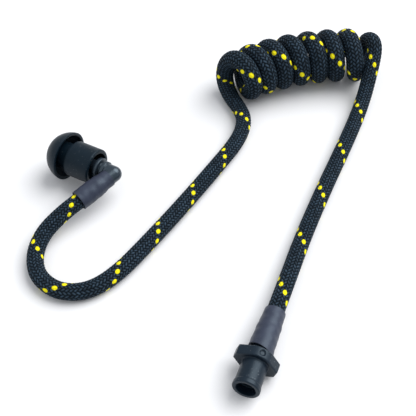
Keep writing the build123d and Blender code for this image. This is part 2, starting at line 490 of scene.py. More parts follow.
def surface(name, grid, uv=None):
    """A closed mesh from a grid of points, rows by columns: the last row joins the first and the last
    column joins the first. A face joins points (i, j), (i, j+1), (i+1, j+1) and (i+1, j). uv gives each
    point its place on the pattern, with one more row and column than the grid, so that it meets itself."""
    rows, columns = grid.shape[:2]
    i, j = np.meshgrid(np.arange(rows), np.arange(columns), indexing="ij")
    i2 = (i + 1) % rows
    j2 = (j + 1) % columns
    quads = np.stack(
        [i * columns + j, i * columns + j2, i2 * columns + j2, i2 * columns + j], -1
    ).reshape(-1, 4)
    mesh = bpy.data.meshes.new(name)
    mesh.vertices.add(rows * columns)
    mesh.vertices.foreach_set("co", grid.astype(np.float32).ravel())
    mesh.loops.add(quads.size)
    mesh.loops.foreach_set("vertex_index", quads.astype(np.int32).ravel())
    mesh.polygons.add(len(quads))
    mesh.polygons.foreach_set("loop_start", np.arange(len(quads), dtype=np.int32) * 4)
    mesh.update(calc_edges=True)
    mesh.validate()
    mesh.shade_smooth()
    if uv is not None:
        layer = mesh.uv_layers.new(name="pattern")
        along = np.stack([i, i, i + 1, i + 1], -1)
        across = np.stack([j, j + 1, j + 1, j], -1)
        layer.uv.foreach_set("vector", uv[along, across].astype(np.float32).ravel())
    made = bpy.data.objects.new(name, mesh)
    bpy.context.scene.collection.objects.link(made)
    return made


def square_to(axis, hint):
    """Two unit vectors square to the axis and to each other, the first nearest to the hint."""
    first = unit(hint - (hint @ axis) * axis)
    return first, np.cross(axis, first)


def around(columns):
    """The angle of each column of a grid that closes on itself."""
    return np.arange(columns) / columns * TAU


def spokes(a, n, b):
    """Unit vectors n cos a + b sin a at each angle, where n and b are one vector or one for each row."""
    return np.cos(a)[:, None] * n[..., None, :] + np.sin(a)[:, None] * b[..., None, :]


def turned_grid(radius, distance, origin, axis, hint):
    """A profile spun about an axis: origin + t axis + r (n cos a + b sin a). The radius r and the
    distance t are rows by columns, so the profile may differ round the axis."""
    n, b = square_to(axis, hint)
    spoke = spokes(around(radius.shape[1]), n, b)
    return origin + distance[..., None] * axis + radius[..., None] * spoke


def finish_piece(piece, finish, body, slot, *nodes):
    """Gives a piece its material and its body, and hides the CAD nodes it stands for. The slot is not used.
    """
    piece.data.materials.clear()
    piece.data.materials.append(finish)
    if body:
        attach(piece, body)
    if nodes:
        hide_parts(*nodes)


# ---- Materials -----------------------------------------------------------------------------------

COOL = (0.7, 0.87, 1.0, 1.0)  # tint of the highlights
BLACK = (0.0, 0.0, 0.0, 1.0)
DUST = (0.32, 0.34, 0.36, 1.0)
SCUFF = (0.2, 0.2, 0.23, 1.0)


class Finish:
    """A node material: one Principled shader, and short calls that add and join nodes."""

    def __init__(self, name, **sockets):
        self.material = bpy.data.materials.new(name)
        self.material.use_nodes = True
        self.tree = self.material.node_tree
        self.shader = self.tree.nodes["Principled BSDF"]
        for key, value in sockets.items():
            self.shader.inputs[key.replace("_", " ")].default_value = value

    def feed(self, socket, value):
        """Joins another node's output to a socket, or sets it."""
        if isinstance(value, bpy.types.NodeSocket):
            self.tree.links.new(value, socket)
        else:
            socket.default_value = value

    def node(self, kind, **inputs):
        """A new node with its inputs fed, by name."""
        made = self.tree.nodes.new(kind)
        for key, value in inputs.items():
            self.feed(made.inputs[key.replace("_", " ")], value)
        return made

    def math(self, operation, *values):
        """The result of a math node on up to three values."""
        made = self.tree.nodes.new("ShaderNodeMath")
        made.operation = operation
        for socket, value in zip(made.inputs, values):
            self.feed(socket, value)
        return made.outputs[0]

    def mix(self, share, first, second):
        """A colour between two colours."""
        made = self.tree.nodes.new("ShaderNodeMix")
        made.data_type = "RGBA"
        for index, value in ((0, share), (6, first), (7, second)):
            self.feed(made.inputs[index], value)
        return made.outputs[2]

    def noise(self, per_metre, detail=3.0, roughness=0.6):
        """Noise on object coordinates, with this many features in a metre."""
        where = self.node("ShaderNodeTexCoord").outputs["Object"]
        settings = {"Vector": where, "Scale": per_metre, "Detail": detail, "Roughness": roughness}
        return self.node("ShaderNodeTexNoise", **settings).outputs["Fac"]

    def spread(self, value, low, high):
        """A value from 0 to 1 spread evenly between two others."""
        return self.math("MULTIPLY_ADD", value, high - low, low)

    def raise_by(self, height, distance, strength=1.0, before=None):
        """A bump of this height, on top of an earlier one."""
        made = self.node("ShaderNodeBump", Height=height, Distance=distance, Strength=strength)
        if before is not None:
            self.feed(made.inputs["Normal"], before)
        return made.outputs["Normal"]

    def use(self, **sockets):
        """Joins results to the shader's sockets."""
        for key, value in sockets.items():
            self.feed(self.shader.inputs[key.replace("_", " ")], value)
        return self.material


def shade(colour, factor):
    """A colour made lighter or darker, with its alpha."""
    return tuple(c * factor for c in colour) + (1.0,)


def moulded_finish(name, colour, roughness, grain, gloss):
    """Moulded plastic or rubber: cloudy tone, a fine grain in the surface and pale dust specks."""
    f = Finish(name, Specular_IOR_Level=gloss, IOR=1.5, Specular_Tint=COOL)
    cloud = f.noise(260.0, 4.0)
    fine = f.noise(4200.0, 2.0, 0.7)
    specks = f.math("GREATER_THAN", f.noise(2600.0, 1.0, 0.4), 0.735)
    tone = f.mix(cloud, shade(colour, 0.72), shade(colour, 1.35))
    dusty = f.mix(f.math("MULTIPLY", specks, 0.22), tone, DUST)
    rough = f.spread(cloud, roughness - 0.08, roughness + 0.1)
    relief = f.raise_by(fine, grain)
    relief = f.raise_by(cloud, 0.06 * MM, 0.5, relief)
    return f.use(Base_Color=dusty, Roughness=rough, Normal=relief)


def braid_finish(cord):
    """Two-over two-under braid on the pattern's own coordinates, which count yarns round the cord and
    along it. Their sum counts the left-hand yarns and their difference the right-hand ones. The tracer
    is the first left-hand yarn, and shows as an oval spot each time that it passes over. Each yarn's
    colour is painted lightest on its crown and near black in the gaps, and each spot darker towards its
    edge: painted shade."""
    filaments_in_yarn = 6
    spot_width, spot_length = 0.92, 1.05
    f = Finish("braid", Specular_IOR_Level=0.12, IOR=1.5, Specular_Tint=COOL)
    where = f.node("ShaderNodeUVMap")
    where.uv_map = "pattern"
    apart = f.node("ShaderNodeSeparateXYZ", Vector=where.outputs[0])
    left = f.math("ADD", apart.outputs["X"], apart.outputs["Y"])
    right = f.math("SUBTRACT", apart.outputs["X"], apart.outputs["Y"])
    left_yarn = f.math("FLOOR", left)
    right_yarn = f.math("FLOOR", right)

    # Which yarn is on top here: of every four crossings, the left-hand yarn is over at two.
    place = f.math("FLOORED_MODULO", f.math("ADD", left_yarn, right_yarn), 4.0)
    left_over = f.math("LESS_THAN", place, 2.0)
    left_across = f.math("FRACT", left)
    right_across = f.math("FRACT", right)
    difference = f.math("SUBTRACT", left_across, right_across)
    across = f.math("MULTIPLY_ADD", difference, left_over, right_across)

    # How high the top yarn stands: its crown across it times its arch along it.
    from_middle = f.math("MULTIPLY_ADD", across, 2.0, -1.0)
    crown = f.math("SUBTRACT", 1.0, f.math("MULTIPLY", from_middle, from_middle))
    over_first = f.math("ADD", place, right_across)
    over_second = f.math("ADD", f.math("SUBTRACT", place, 2.0), left_across)
    along = f.math("MULTIPLY_ADD", f.math("SUBTRACT", over_first, over_second), left_over, over_second)
    arch = f.math("SINE", f.math("MULTIPLY", along, math.pi / 2))
    top = f.math("MULTIPLY", f.math("POWER", crown, 1.3), f.math("MAXIMUM", arch, 0.0))

    # How far this is from the middle of a tracer spot, where 1 is the spot's edge.
    count = float(cord.carriers)
    aside = f.math("FLOORED_MODULO", f.math("ADD", left, count / 2 - 0.5), count)
    aside = f.math("DIVIDE", f.math("SUBTRACT", aside, count / 2), spot_width)
    ahead = f.math("FLOORED_MODULO", f.math("ADD", right, 1.0), 4.0)
    ahead = f.math("DIVIDE", f.math("SUBTRACT", ahead, 2.0), spot_length)
    away = f.math("SQRT", f.math("ADD", f.math("POWER", aside, 2.0), f.math("POWER", ahead, 2.0)))
    tracer = f.math("LESS_THAN", away, 1.0)

    yarn = f.node("ShaderNodeCombineXYZ", X=left_yarn, Y=right_yarn)
    chance = f.node("ShaderNodeTexWhiteNoise", Vector=yarn.outputs[0]).outputs["Value"]
    plain = f.mix(chance, shade(cord.yarn_colour, 1.4), shade(cord.yarn_colour, 4.2))
    # Painted shade: the yarn's colour falls from its crown to almost black at its edges and in the gaps
    # between yarns.
    plain = f.mix(top, shade(cord.yarn_colour, 0.06), plain)
    # Painted shade: each tracer spot is painted darker towards its edge, down to 0.6 of its colour.
    spot_edge_painted_shade = f.spread(f.math("MAXIMUM", f.math("SUBTRACT", 1.0, f.math("POWER", away, 4.0)), 0.0), 0.6, 1.0)
    shaded_tracer_colour = f.mix(spot_edge_painted_shade, BLACK, shade(cord.tracer_colour, 1.0))
    colour = f.mix(tracer, plain, shaded_tracer_colour)

    filaments = f.math("SINE", f.math("MULTIPLY", across, filaments_in_yarn * TAU))
    height = f.math("MULTIPLY_ADD", filaments, 0.07, top)
    relief = f.raise_by(height, 0.16 * MM, 0.9)
    rough = f.math("ADD", f.spread(top, 0.9, 0.36), f.math("MULTIPLY", chance, 0.1))
    return f.use(Base_Color=colour, Roughness=rough, Normal=relief)


def shrink_finish(tube):
    """Heat-shrink tube: greyer and waxier than the mouldings, with scuffs along it and soft lumps."""
    f = Finish("heat_shrink", Specular_IOR_Level=0.42, IOR=1.48, Specular_Tint=COOL)
    cloud = f.noise(300.0, 5.0)
    fine = f.noise(3000.0, 3.0, 0.7)
    tone = f.mix(cloud, shade(tube.colour, 0.75), shade(tube.colour, 1.3))
    worn = f.mix(f.math("MULTIPLY", f.math("GREATER_THAN", fine, 0.66), 0.2), tone, SCUFF)
    rough = f.spread(cloud, 0.36, 0.55)
    relief = f.raise_by(f.noise(900.0, 2.0), 0.05 * MM)
    relief = f.raise_by(fine, 0.01 * MM, 1.0, relief)
    return f.use(Base_Color=worn, Roughness=rough, Normal=relief)


def hose_finish(cord):
    """Clear hose, slightly cloudy."""
    f = Finish("hose", IOR=1.45, Transmission_Weight=0.4)
    cloud = f.noise(400.0, 3.0)
    tone = f.mix(cloud, shade(cord.hose_colour, 0.85), shade(cord.hose_colour, 1.1))
    return f.use(Base_Color=tone, Roughness=f.spread(cloud, 0.12, 0.3))


def floor_finish(stage):
    """Smooth pale paper."""
    f = Finish("floor_paper")
    cloud = f.noise(30.0, 3.0)
    tone = f.mix(cloud, shade(stage.floor_colour, 0.99), shade(stage.floor_colour, 1.01))
    return f.use(Base_Color=tone, Roughness=f.spread(cloud, 0.65, 0.75))


# ---- The cord's line -----------------------------------------------------------------------------


def coil_points(cord):
    """The coil's turns: a helix of twelve points a turn round an axis that lies in a shallow arc. Angle
    0 is the bottom of a turn, and it rises on the far side. Each point stands out a little further than
    the cord's middle, because the spline passes inside its points."""
    step = math.radians(30)
    angle = np.arange(math.radians(30), TAU * 7 + math.radians(91), step)
    radius = cord.coil_radius / (0.75 + 0.25 * math.cos(step))
    along = np.interp(angle / TAU, np.arange(len(TURN_TOPS)) - 0.5, TURN_TOPS)
    along = along - cord.coil_lean * np.cos(angle)
    bend = COIL_HEADING - along / cord.coil_bow
    x = COIL_START[0] + cord.coil_bow * (math.sin(COIL_HEADING) - np.sin(bend))
    y = COIL_START[1] + cord.coil_bow * (np.cos(bend) - math.cos(COIL_HEADING))
    z = cord.coil_radius + cord.coil_diameter / 2 - radius * np.cos(angle)
    out = radius * np.sin(angle)
    return np.stack([x - out * np.sin(bend), y + out * np.cos(bend), z], -1)


def spline_line(points):
    """The smooth line that a spline with these control points makes."""
    data = bpy.data.curves.new("cord_route", "CURVE")
    data.dimensions = "3D"
    spline = data.splines.new("NURBS")
    spline.points.add(len(points) - 1)
    weighted = np.concatenate([points, np.ones((len(points), 1))], 1)
    spline.points.foreach_set("co", weighted.ravel())
    spline.order_u = 3
    spline.use_endpoint_u = True
    spline.resolution_u = 24
    data.resolution_u = 24
    route = bpy.data.objects.new("cord_route", data)
    line = bpy.data.meshes.new_from_object(route)
    co = np.zeros(len(line.vertices) * 3, np.float32)
    line.vertices.foreach_get("co", co)
    bpy.data.meshes.remove(line)
    bpy.data.objects.remove(route)
    bpy.data.curves.remove(data)
    return co.reshape(-1, 3).astype(float)


class Guide:
    """The cord's middle line and, at each point of it, two directions square to it that turn as little
    as they can. It goes on straight beyond both ends of the cord, so a fitting's tube can follow it."""

    SPACING = 0.1 * MM

    def __init__(self, line):
        run = np.linalg.norm(np.diff(line, axis=0), axis=1)
        reached = np.concatenate([[0.0], np.cumsum(run)])
        self.length = reached[-1]
        count = int(round(self.length / self.SPACING)) + 1
        self.s = np.linspace(0, self.length, count)
        self.p = np.stack([np.interp(self.s, reached, line[:, k]) for k in range(3)], -1)
        self.t = unit(np.gradient(self.p, axis=0))
        self.n = self.carried(square_to(self.t[0], UP)[0])

    def carried(self, first):
        """The first direction carried along the line by two reflections at each step."""
        sideways = [first]
        for k in range(len(self.s) - 1):
            chord = self.p[k + 1] - self.p[k]
            mirror = 2 / (chord @ chord)
            n = sideways[-1] - mirror * (chord @ sideways[-1]) * chord
            t = self.t[k] - mirror * (chord @ self.t[k]) * chord
            turn = self.t[k + 1] - t
            size = turn @ turn
            if size > 1e-18:  # on a straight stretch there is nothing to mirror
                n = n - 2 / size * (turn @ n) * turn
            sideways.append(n)
        return np.array(sideways)

    def at(self, s):
        """Place, forward, and the two sideways directions at distances along the cord."""
        s = np.asarray(s, float)
        inside = np.clip(s, 0, self.length)
        p, t, n = (
            np.stack([np.interp(inside, self.s, v[:, k]) for k in range(3)], -1)
            for v in (self.p, self.t, self.n)
        )
        t = unit(t)
        n = unit(n - (n * t).sum(-1, keepdims=True) * t)
        return p + (s - inside)[..., None] * t, t, n, np.cross(t, n)

    def tube(self, s, radius, columns):
        """Grid of a tube along the line: place + radius (n cos a + b sin a), one row for each s. The
        radius is rows by columns, or rows by one."""
        p, _, n, b = self.at(s)
        return p[:, None] + radius[..., None] * spokes(around(columns), n, b)


def cord_guide(cord):
    """The whole cord as one line, and the distances along it where the coil starts and ends."""
    straight = MOUTH + CORD_STRAIGHT_TO * CONNECTOR_AXIS
    ear = np.array([CORD_START, *EAR_LEG_ROUTE])
    coil = coil_points(cord)
    radio = np.array([*RADIO_LEG_ROUTE, straight, CORD_END])
    guide = Guide(spline_line(np.concatenate([ear, coil, radio])))
    middle = len(guide.s) // 2
    first = (coil[0] + ear[-1]) / 2
    last = (coil[-1] + radio[0]) / 2
    start = guide.s[np.linalg.norm(guide.p[:middle] - first, axis=1).argmin()]
    end = guide.s[middle + np.linalg.norm(guide.p[middle:] - last, axis=1).argmin()]
    return guide, start, end


def cord_radius(cord, s, start, end):
    """The braid's outer radius: plain on the legs, and fuller in the coil."""
    ramp = 14 * MM
    fuller = smooth_step((s - start + ramp / 2) / ramp) * smooth_step((end - s + ramp / 2) / ramp)
    return (cord.diameter + (cord.coil_diameter - cord.diameter) * fuller) / 2


def yarns_along(cord, s, start, end, length):
    """How many yarns lie along the cord up to each distance: the sum of each stretch over its spacing."""
    stops = np.array([0.0, start, end, length])
    counted = np.cumsum([cord.yarn_start, *(np.diff(stops) / np.array(cord.yarn_advance))])
    return np.interp(s, stops, counted)


def yarn_height(x, y):
    """Height of the top yarn, 0 to 1, where x counts yarns round the cord and y along it. Left-hand
    yarns have whole values of x + y at their edges and right-hand ones of x - y. Each passes over two
    and under two: its crown is half a circle across it, and it arches where it is on top."""
    left = x + y
    right = x - y
    left_yarn = np.floor(left)
    right_yarn = np.floor(right)
    left_part = left - left_yarn
    right_part = right - right_yarn
    place = np.mod(left_yarn + right_yarn, 4)
    left_over = place < 2
    across = np.where(left_over, left_part, right_part)
    along = np.where(left_over, place + right_part, place - 2 + left_part) / 2
    crown = np.sqrt(np.clip(1 - (2 * across - 1) ** 2, 0, 1))
    return crown * (0.5 + 0.5 * np.sqrt(np.sin(math.pi * along)))


def braid_piece(name, cord, guide, s0, s1, start, end, step):
    """A closed length of braided sleeve: out along its braided outside and back along its inside."""
    columns = 96
    inner_step = 1.6 * MM
    slack = 0.02 * MM  # between the sleeve's inside and the hose
    outer = np.linspace(s0, s1, int(round((s1 - s0) / step)) + 1)
    inner = np.linspace(s1, s0, int(round((s1 - s0) / inner_step)) + 1)
    x = np.arange(columns + 1) / columns * cord.carriers
    y = yarns_along(cord, outer, start, end, guide.length)
    grid_x, grid_y = np.meshgrid(x, y)
    height = yarn_height(grid_x[:, :-1], grid_y[:, :-1])
    outside = cord_radius(cord, outer, start, end)[:, None] - cord.yarn_relief * (1 - height)
    inside = np.full((len(inner), columns), cord.hose_diameter / 2 + slack)
    s = np.concatenate([outer, inner])
    grid = guide.tube(s, np.concatenate([outside, inside]), columns)
    back_x, back_y = np.meshgrid(x, yarns_along(cord, inner, start, end, guide.length))
    uv = np.stack([np.concatenate([grid_x, back_x]), np.concatenate([grid_y, back_y])], -1)
    uv = np.concatenate([uv, uv[:1]])
    return surface(name, grid, uv), np.repeat(s, columns)


def hose_piece(name, cord, guide, s0, s1):
    """A closed length of hose: its outside and its bore."""
    step = 1.0 * MM
    outer = np.linspace(s0, s1, int(round((s1 - s0) / step)) + 1)
    s = np.concatenate([outer, outer[::-1]])
    radius = np.repeat([cord.hose_diameter / 2, cord.hose_bore / 2], len(outer))
    columns = 32
    piece = surface(name, guide.tube(s, radius[:, None], columns))
    return piece, np.repeat(s, columns)


def stretch_with_coil(piece, s, guide, start, end):
    """Puts each point of a piece on a straight line between the coil's ends, at the distance t where
    3t^2 - 2t^3 is its share of the way along the cord, applies the piece's transform to its mesh, and
    puts the points back after."""
    rest = np.zeros(len(piece.data.vertices) * 3, np.float32)
    piece.data.vertices.foreach_get("co", rest)
    share = np.clip((s - start) / (end - start), 0, 1)
    t = 0.5 - np.sin(np.arcsin(1 - 2 * share) / 3)
    a, b = guide.at([start, end])[0]
    lined = a + t[:, None] * (b - a)
    piece.data.vertices.foreach_set("co", lined.astype(np.float32).ravel())
    piece.data.update()
    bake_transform(piece)
    piece.data.vertices.foreach_set("co", rest)
    piece.data.update()


# ---- Fittings ------------------------------------------------------------------------------------


def scaled(rows):
    """A profile given in millimetres, in metres."""
    return [tuple(v * MM for v in row) for row in rows]


def open_outline(rows):
    """The line of a profile given in millimetres, where a row may leave its rounding out."""
    return outline(scaled(rows), 3)


def arc(radius, start, end, count):
    """Points (radius sin a, -radius cos a) for angles a between two, in degrees."""
    a = np.radians(np.linspace(start, end, count))
    return [(radius * math.sin(v), -radius * math.cos(v)) for v in a]


def closer(line, gap):
    """A profile line with extra points, so that no two neighbours are further apart than the gap."""
    made = [line[:1]]
    for a, b in zip(line[:-1], line[1:]):
        count = max(1, int(math.ceil(np.linalg.norm(b - a) / gap)))
        t = np.arange(1, count + 1)[:, None] / count
        made.append(a + t * (b - a))
    return np.concatenate(made)


def angle_from(a, centre):
    """How far each angle is from another, the short way round, with its sign."""
    return (a - centre + math.pi) % TAU - math.pi


def ear_tip_grid(tip):
    """The mushroom as one closed turned profile: over the dome, round the rim, under the skirt to the
    stem, along the stem, into its mouth and back through the bore. Two shallow mould lines run along
    the stem, where the radius is less by a depth times a bell across the line."""
    head = tip.head_radius / MM
    inner = head - tip.skirt / MM
    stem = tip.stem_radius / MM
    outlet = tip.outlet_radius / MM
    bore = tip.bore_radius / MM
    mouth = tip.mouth_radius / MM
    length = tip.stem_length / MM
    floor = length - tip.mouth_depth / MM
    neck = 3.9  # radius of the undercut between the skirt and the stem
    step = 1.0  # where the stem comes out to its full radius
    root = -math.sqrt(inner**2 - neck**2)
    crown = -math.sqrt(head**2 - outlet**2)
    bore_from = -2.0
    rim = 83.5  # degrees from the crown, where the skirt stops
    edge = -head * math.cos(math.radians(rim))
    reach = math.sin(math.radians(rim))
    rows = [(outlet, crown, 0.25)]
    rows += arc(head, math.degrees(math.asin(outlet / head)) + 3, rim - 3, 40)
    rows += [(head * reach, edge, 0.3), (inner * reach, edge, 0.3)]
    rows += arc(inner, rim - 4, math.degrees(math.asin(neck / inner)) + 6, 14)
    rows += [
        (neck, root, 0.4),
        (neck, step, 0.3),
        (stem, step, 0.3),
        (stem, length, 0.55),
        (mouth, length, 0.25),
        (mouth, floor, 0.3),
        (bore, floor, 0.15),
        (bore, bore_from, 0.1),
        (outlet, bore_from, 0.1),
    ]
    line = closer(outline(scaled(rows)), 0.4 * MM)
    columns = 224
    a = around(columns)
    radius = np.repeat(line[:, :1], columns, 1)
    distance = np.repeat(line[:, 1:], columns, 1)
    on_stem = (np.abs(line[:, 0] - tip.stem_radius) < 0.02 * MM) & (line[:, 1] > step * MM)
    groove = 0.0
    groove_half_width, groove_depth = 0.3 * MM, 0.12 * MM
    for side in TIP_SEAMS:
        away = np.abs(angle_from(a, math.radians(side))) * tip.stem_radius
        groove = groove + bump(away, groove_half_width)
    radius -= on_stem[:, None] * groove * groove_depth
    return turned_grid(radius, distance, RIM_CENTRE, TIP_AXIS, UP)


def elbow_grid(elbow):
    """Both arms as one closed grid. A row is a ring about its arm's axis: corner + t axis + r (n cos a
    + b sin a), with a measured from the outside of the bend. Round the outside of the corner the rings
    swing about the corner, so they lie on a ball. On the inside each arm's lines stop at the mitre,
    which is at t = r cos a tan(turn / 2). The passage follows in the same way, going back."""
    body = elbow.radius / MM
    spigot = elbow.spigot / MM
    inner = elbow.inner_collar / MM
    outer = elbow.outer_collar / MM
    passage, barb = 0.9, 1.3
    spigot_end, barb_end = -14.5, 8.4
    arm_end = ELBOW_ARM / MM
    arm_in = [
        (1.6, spigot_end, 0.1),
        (spigot, -13.4, 0.2),
        (spigot, -5.4, 0.05),
        (inner, -5.4, 0.2),
        (inner, -4.3, 0.2),
        (spigot, -4.25, 0.1),
        (spigot, -3.5, 0.05),
        (outer, -3.45, 0.18),
        (outer, -2.4, 0.18),
        (body, -2.35, 0.1),
        (body, -0.01),
    ]
    arm_out = [
        (body, 0.01),
        (body, arm_end, 0.1),
        (barb, arm_end),
        (barb, 7.6, 0.1),
        (1.0, barb_end, 0.05),
        (passage, barb_end),
    ]
    columns = 128
    a = around(columns)
    turn = math.acos(TIP_AXIS @ EAR_EXIT)
    n_in = -square_to(TIP_AXIS, EAR_EXIT)[0]
    n_out = square_to(EAR_EXIT, TIP_AXIS)[0]
    b = np.cross(TIP_AXIS, n_in)

    def arm(rows, axis, n, sign):
        line = closer(rows, 0.5 * MM)
        radius = line[:, :1]
        mitre = radius * np.minimum(np.cos(a), 0) * math.tan(turn / 2)
        t = np.minimum(line[:, 1:] * sign, mitre) * sign
        return ELBOW_CORNER + t[..., None] * axis + radius[..., None] * spokes(a, n, b)

    def corner(radius):
        mitre = radius * np.minimum(np.cos(a), 0) * math.tan(turn / 2)
        inside = mitre[:, None] * TIP_AXIS + radius * spokes(a, n_in, b)
        swing = np.linspace(0, turn, 18)[1:-1, None]
        ball = radius * spokes(a, np.cos(swing) * n_in + np.sin(swing) * TIP_AXIS, b)
        return ELBOW_CORNER + np.where(np.cos(a)[:, None] >= 0, ball, inside)

    back_out = np.array(scaled([(passage, barb_end), (passage, 0.01)]))
    back_in = np.array(scaled([(passage, -0.01), (passage, spigot_end)]))
    return np.concatenate(
        [
            arm(open_outline(arm_in), TIP_AXIS, n_in, 1),
            corner(body * MM),
            arm(open_outline(arm_out), EAR_EXIT, n_out, -1),
            arm(back_out, EAR_EXIT, n_out, -1)[1:],
            corner(passage * MM)[::-1],
            arm(back_in, TIP_AXIS, n_in, 1),
        ]
    )


def shrink_grid(guide, rows, wall, wrinkle, phase, slant=(0.0, 0.0, 0.0)):
    """A closed tube that follows the cord's line, out along its outside and back along its inside. The
    outside is lumpy: its radius is more by wrinkle times a sum of three sines of distance and angle.
    The far end is cut at a slant: a point is moved along by slant . spoke, more towards that end."""
    columns = 96
    slant_reach = 6 * MM
    line = closer(open_outline(rows), 0.2 * MM)
    a = around(columns)
    s = line[:, 1:]
    lumps = (
        np.sin(2 * a + 0.9 * s / MM + phase)
        + np.sin(3 * a - 1.7 * s / MM + 2 * phase)
        + np.sin(a + 2.6 * s / MM + 3 * phase)
    )
    edge = np.minimum(s - s.min(), s.max() - s) / MM
    outside = line[:, :1] + wrinkle * lumps * np.clip(edge, 0, 1)
    inner_line = np.linspace(s.max(), s.min(), 24)[:, None]
    inner_radius = np.interp(inner_line[:, 0], line[:, 1], line[:, 0])[:, None] - wall
    inside = np.repeat(inner_radius, columns, 1)
    distances = np.concatenate([s, inner_line])
    grid = guide.tube(distances[:, 0], np.concatenate([outside, inside]), columns)
    _, t, n, b = guide.at(distances[:, 0])
    share = np.clip(1 - (s.max() - distances) / slant_reach, 0, 1)
    return grid + (share * (spokes(a, n, b) @ np.array(slant)))[..., None] * t[:, None]


def cut_at_mitre(grid):
    """The ear tube's grid cut along the elbow's mitre, so that it stays off the other arm: each point
    behind the mitre's plane is moved along the cord's axis to the plane."""
    gap = 0.05 * MM
    mitre = unit(TIP_AXIS + EAR_EXIT)
    short = np.minimum((grid - ELBOW_CORNER) @ mitre - gap, 0)
    return grid - (short / (EAR_EXIT @ mitre))[..., None] * EAR_EXIT


def flange_outline(connector, a):
    """Distance of the flange's edge from the axis at each angle: half the span over cos a across a
    wing's flat tip, then a straight flank that meets the disc as a tangent, then the disc."""
    half_tip = 1.2 * MM
    half = connector.wing_span / 2
    disc = connector.flange
    tip_angle = math.atan2(half_tip, half)
    meet = tip_angle + math.acos(disc / math.hypot(half, half_tip))
    fold = np.abs(angle_from(a, 0.0))
    fold = np.minimum(fold, math.pi - fold)
    flank = disc / np.cos(np.clip(meet - fold, 0, 1.5))
    tip = half / np.cos(np.minimum(fold, tip_angle))
    return np.where(fold < tip_angle, tip, flank)


def connector_grid(connector):
    """One moulding as a closed turned profile: lip, barrel, flange, neck and barb, then back through
    the passage and the socket. A row's radius is r + share (edge(a) - r), where edge is the flange's
    outline, so the flange's rows take the outline and the others stay round. A dimple lowers the rim at
    the top by a bell, and two lugs raise the wall of the socket's mouth by a flat-topped one."""
    lip = connector.lip / MM
    barrel = connector.barrel / MM
    flange_from, flange_to = 7.35, 10.25
    neck, barb, passage = 2.5, 1.3, 0.9
    socket, socket_mouth = 2.2, 2.6
    rim = 20.0  # stands for the flange's edge in the profile
    soft = 0.35  # rounding of the flange's edges
    dimple_depth, dimple_radius = 0.4 * MM, 0.95 * MM
    lug_middle, lug_half_length, lug_half_width = 1.5 * MM, 0.8 * MM, 0.5 * MM
    before = [
        (socket_mouth, 0.0, 0.15),
        (lip, 0.0, 0.35),
        (lip, 1.3, 0.12),
        (barrel, 1.45, 0.12),
        (barrel, flange_from, 0.2),
    ]
    after = [
        (neck, flange_to, 0.3),
        (neck, 14.4, 0.15),
        (barb, 14.4, 0.05),
        (barb, 18.6, 0.1),
        (1.0, 19.4, 0.05),
        (passage, 19.4, 0.03),
        (passage, 6.0, 0.05),
        (socket, 6.0, 0.2),
        (socket, 2.4, 0.1),
        (socket_mouth, 2.4, 0.1),
    ]
    line = outline(scaled(before + [(rim, flange_from), (rim, flange_to)] + after), 4)
    columns = 240
    a = around(columns)
    edge = flange_outline(connector, a)
    where = int(np.flatnonzero(line[:, 0] > rim * MM * 0.99)[0])
    head = closer(line[:where], 0.3 * MM)
    tail = closer(line[where + 2 :], 0.12 * MM)
    rings = []

    def add_rows(radius, distance):
        """Rows where the radius or the distance may be the same all round."""
        rings.append(np.broadcast_arrays(radius, distance, np.zeros((1, columns)))[:2])

    def add_round(turn, start, inward):
        """One soft edge of the flange, at angles of turn from its face to its rim."""
        for q in np.radians(turn):
            depth = (start + inward * soft * (1 - math.cos(q))) * MM
            add_rows((edge - soft * MM * (1 - math.sin(q)))[None], depth)

    def add_face(shares, inner, t):
        """One face of the flange, from the inner radius to the start of its soft edge."""
        for share in shares:
            add_rows((inner * MM + share * (edge - soft * MM - inner * MM))[None], t * MM)

    add_rows(head[:, :1], head[:, 1:])
    add_face((0.25, 0.5, 0.75), barrel, flange_from)
    add_round(np.linspace(0, 90, 6), flange_from, 1)
    rim_t = np.linspace(flange_from + soft, flange_to - soft, 22)[1:-1, None] * MM
    middle = (flange_from + flange_to) / 2 * MM
    across = angle_from(a, math.pi / 2) * connector.flange
    dimple = dimple_depth * bump(np.hypot(across, rim_t - middle), dimple_radius)
    add_rows(edge - dimple, rim_t)
    add_round(np.linspace(90, 0, 6), flange_to, -1)
    add_face((0.75, 0.5, 0.25), neck, flange_to)
    add_rows(tail[:, :1], tail[:, 1:])
    wall_t = np.linspace(2.25, 0.2, 18)[:, None] * MM
    along = bump(np.abs(wall_t - lug_middle), lug_half_length)
    lugs = 0.0
    for side in (0.0, math.pi):
        turn = np.abs(angle_from(a, side)) * socket_mouth * MM
        lugs = lugs + bump(turn, lug_half_width) * along
    add_rows(socket_mouth * MM - (socket_mouth - socket) * MM * lugs, wall_t)

    level = direction(math.degrees(math.atan2(CONNECTOR_AXIS[1], CONNECTOR_AXIS[0])) + 90, 0)
    sideways, top = square_to(CONNECTOR_AXIS, level)
    wing = math.cos(connector.wing_roll) * sideways + math.sin(connector.wing_roll) * top
    radius, distance = (np.concatenate(part) for part in zip(*rings))
    return turned_grid(radius, distance, MOUTH, CONNECTOR_AXIS, wing)


def welded(piece):
    """Joins points that lie on each other and drops the faces that this leaves with no area."""
    work = bmesh.new()
    work.from_mesh(piece.data)
    bmesh.ops.remove_doubles(work, verts=work.verts, dist=0.002 * MM)
    bmesh.ops.dissolve_degenerate(work, edges=work.edges, dist=0.001 * MM)
    work.to_mesh(piece.data)
    work.free()
    piece.data.shade_smooth()
    return piece


def keep_edges(piece):
    """Draws the piece's sharp edges as edges, where the rest of it is smooth."""
    piece.data.set_sharp_from_angle(angle=math.radians(50))
    return piece


# ---- Operators -----------------------------------------------------------------------------------


